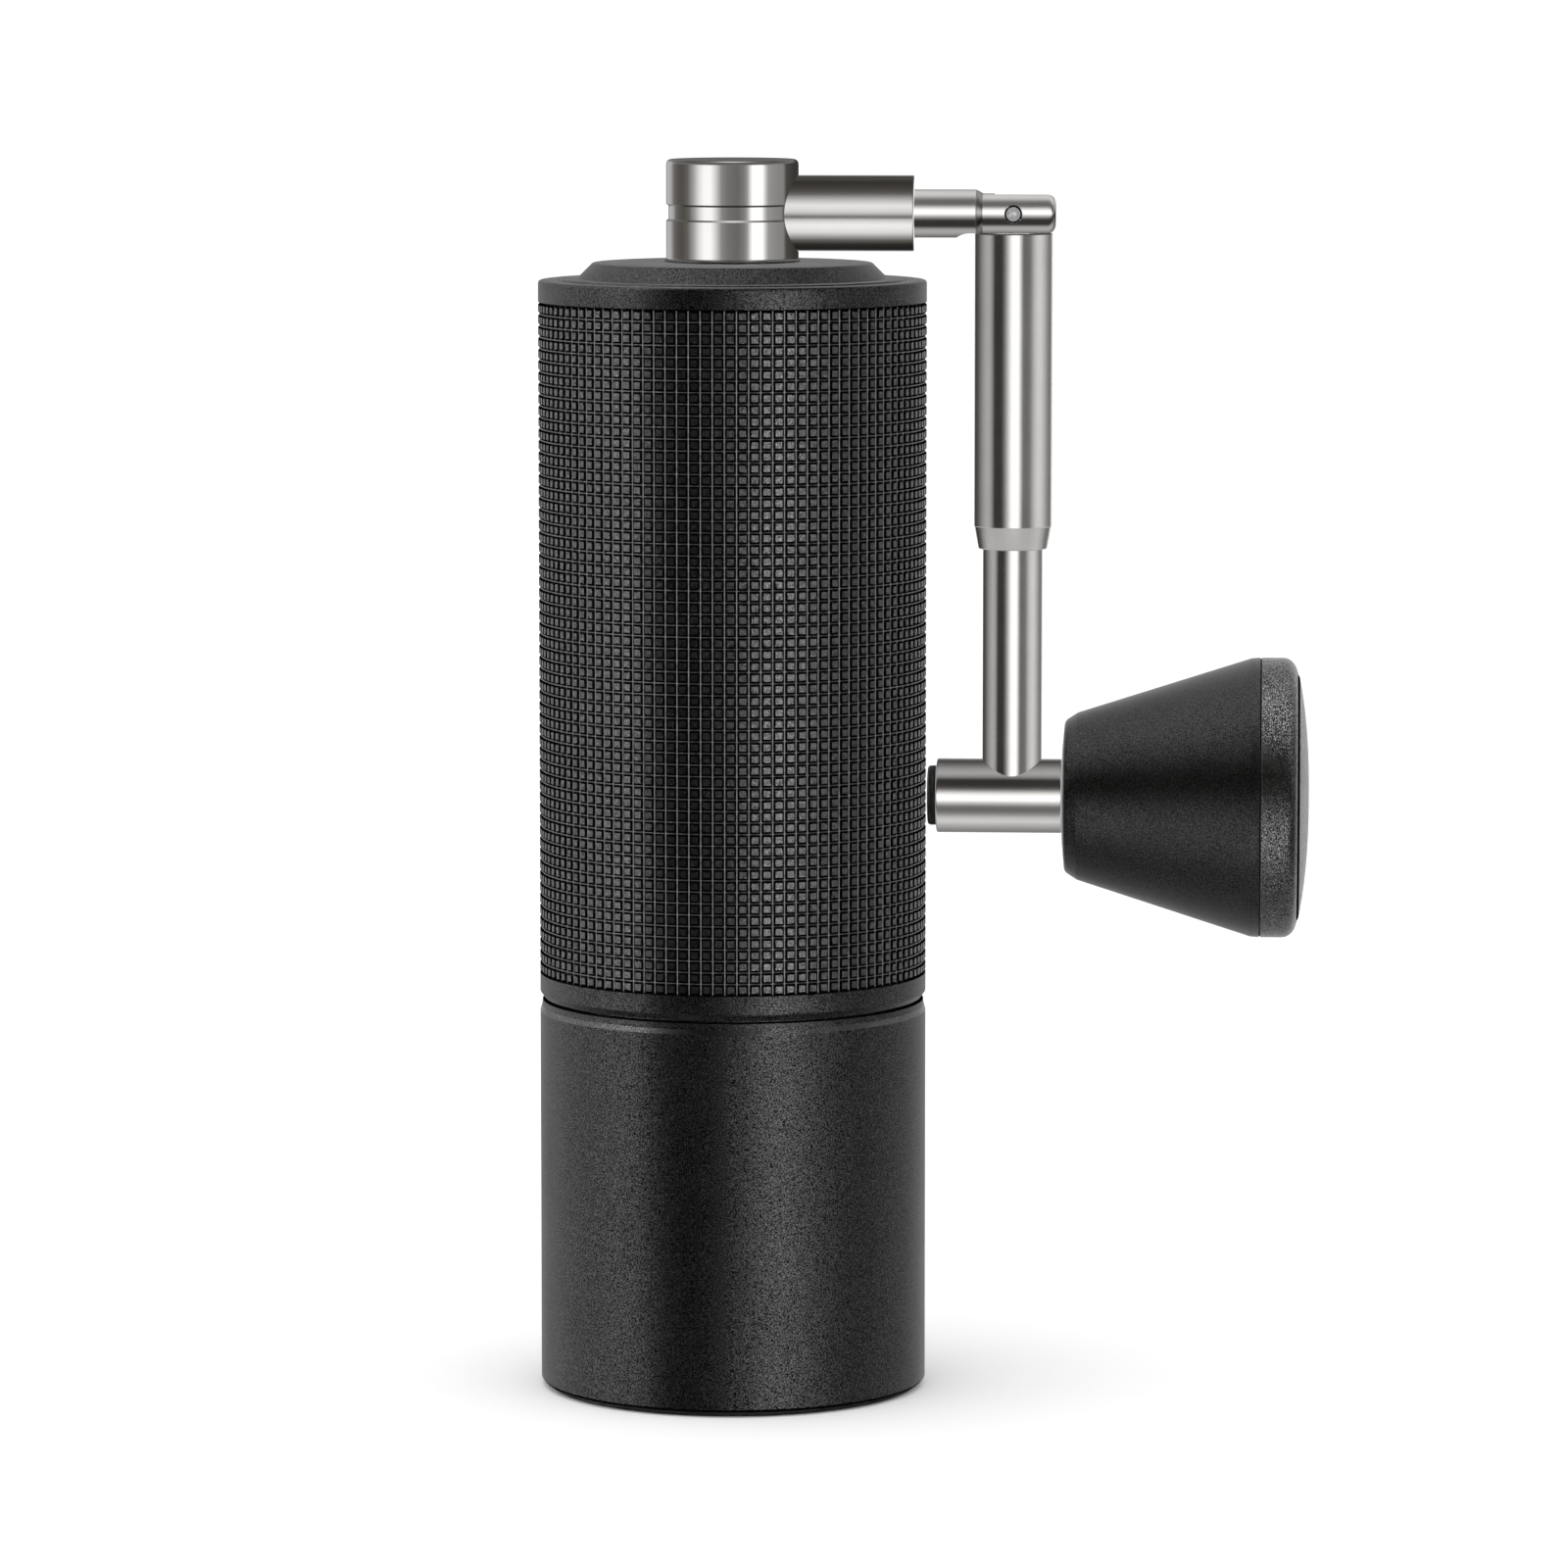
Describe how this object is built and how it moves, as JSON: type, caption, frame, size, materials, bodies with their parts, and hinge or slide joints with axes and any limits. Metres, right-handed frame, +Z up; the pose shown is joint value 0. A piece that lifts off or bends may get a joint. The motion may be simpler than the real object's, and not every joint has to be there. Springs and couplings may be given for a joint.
{
  "type": "hand crank coffee grinder",
  "caption": "Slim cylindrical hand coffee grinder with a knurled shell, a plain catch cup, a folding steel crank arm with a lock sleeve and a conical knob.",
  "frame": {"origin": "centre of the foot pad's underside, on the body's axis", "axes": "+Z up along the body's axis, +X from the axis towards the crank's folded arm, +Y completes a right-handed frame"},
  "size_m": [0.1034, 0.052, 0.1655],
  "materials": {
    "anodised_shell": "black anodised over a fine bead blast, knurled shell and plain cup",
    "anodised_inner": "satin black anodised",
    "lid_black": "black with a fine sandblasted texture",
    "knob_black": "black with a fine sandblasted texture",
    "cap_black": "black with a fine texture and a slight sheen",
    "black_plastic": "moulded black",
    "stainless": "turned and polished stainless steel",
    "burr_steel": "milled stainless steel",
    "bearing_steel": "ground bearing and spring steel",
    "brass": "turned brass",
    "rubber": "moulded black rubber"
  },
  "bodies": {
    "grinder_body": {"outer_shell": "anodised_shell", "neck_seal": "rubber", "upper_bridge": "anodised_inner", "burr_frame": "anodised_inner", "burr_screw_1": "stainless", "burr_screw_2": "stainless", "burr_screw_3": "stainless", "hopper_funnel": "black_plastic", "ring_burr": "burr_steel", "upper_bearing_outer_race": "bearing_steel", "lower_bearing_outer_race": "bearing_steel", "upper_bearing_ball_cage": "brass", "lower_bearing_ball_cage": "brass"},
    "drive": {"drive_shaft": "stainless", "shaft_clip": "bearing_steel", "upper_bearing_inner_race": "bearing_steel", "lower_bearing_inner_race": "bearing_steel", "spacer_tube": "stainless", "end_nut": "stainless", "burr_spring": "bearing_steel"},
    "crank": {"crank_hub": "stainless", "arm_collar": "stainless", "fork_rod": "stainless", "hinge_pin": "stainless", "hub_washer": "black_plastic", "lid_clip": "bearing_steel"},
    "lid": {"lid": "lid_black", "lid_seal": "rubber"},
    "arm": {"arm_rod": "stainless", "cross_tube": "stainless", "bumper": "rubber", "knob_spindle": "stainless", "knob_washer": "bearing_steel", "knob_screw": "stainless", "lock_spring": "bearing_steel"},
    "lock_sleeve": {"lock_sleeve": "stainless"},
    "knob": {"knob_body": "knob_black", "knob_cap": "cap_black", "knob_bush_near": "brass", "knob_bush_far": "brass"},
    "inner_burr": {"inner_burr": "burr_steel", "click_ball": "bearing_steel", "click_spring": "bearing_steel"},
    "dial": {"adjust_dial": "anodised_inner"},
    "cup_foot": {"foot_pad": "rubber"},
    "cup": {"cup_shell": "anodised_shell"}
  },
  "joints": [
    {"name": "crank_spin", "type": "hinge", "parent": "grinder_body", "child": "drive", "pos_m": [0, 0, 0.1], "axis": [0, 0, 1], "continuous": true},
    {"name": "crank_lift", "type": "slide", "parent": "drive", "child": "crank", "axis": [0, 0, 1], "range_m": [0, 0.03]},
    {"name": "lid_lift", "type": "slide", "parent": "grinder_body", "child": "lid", "axis": [0, 0, 1], "range_m": [0, 0.03]},
    {"name": "arm_fold", "type": "hinge", "parent": "crank", "child": "arm", "pos_m": [0.0376, 0, 0.1583], "axis": [0, -1, 0], "range_deg": [0, 90]},
    {"name": "sleeve_slide", "type": "slide", "parent": "arm", "child": "lock_sleeve", "axis": [0, 0, 1], "range_m": [-0.005, 0], "deforming": ["lock_spring"]},
    {"name": "knob_spin", "type": "hinge", "parent": "arm", "child": "knob", "pos_m": [0.06, 0, 0.0803], "axis": [1, 0, 0], "continuous": true},
    {"name": "burr_adjust", "type": "slide", "parent": "drive", "child": "inner_burr", "axis": [0, 0, 1], "range_m": [-0.0007, 0.0007], "deforming": ["burr_spring"]},
    {"name": "dial_turn", "type": "hinge", "parent": "inner_burr", "child": "dial", "pos_m": [0, 0, 0.055], "axis": [0, 0, 1], "range_deg": [-360, 360]},
    {"name": "cup_drop", "type": "slide", "parent": "grinder_body", "child": "cup_foot", "axis": [0, 0, 1], "range_m": [-0.006, 0]},
    {"name": "cup_turn", "type": "hinge", "parent": "cup_foot", "child": "cup", "pos_m": [0, 0, 0.03], "axis": [0, 0, 1], "range_deg": [-1080, 0]}
  ],
  "couplings": [
    {"joint": "crank_lift", "follows": "lid_lift", "ratio": 1},
    {"joint": "sleeve_slide", "follows": "arm_fold", "m_per_rad": -0.00318},
    {"joint": "burr_adjust", "follows": "dial_turn", "m_per_rad": 0.00011},
    {"joint": "cup_drop", "follows": "cup_turn", "m_per_rad": 0.000318}
  ]
}
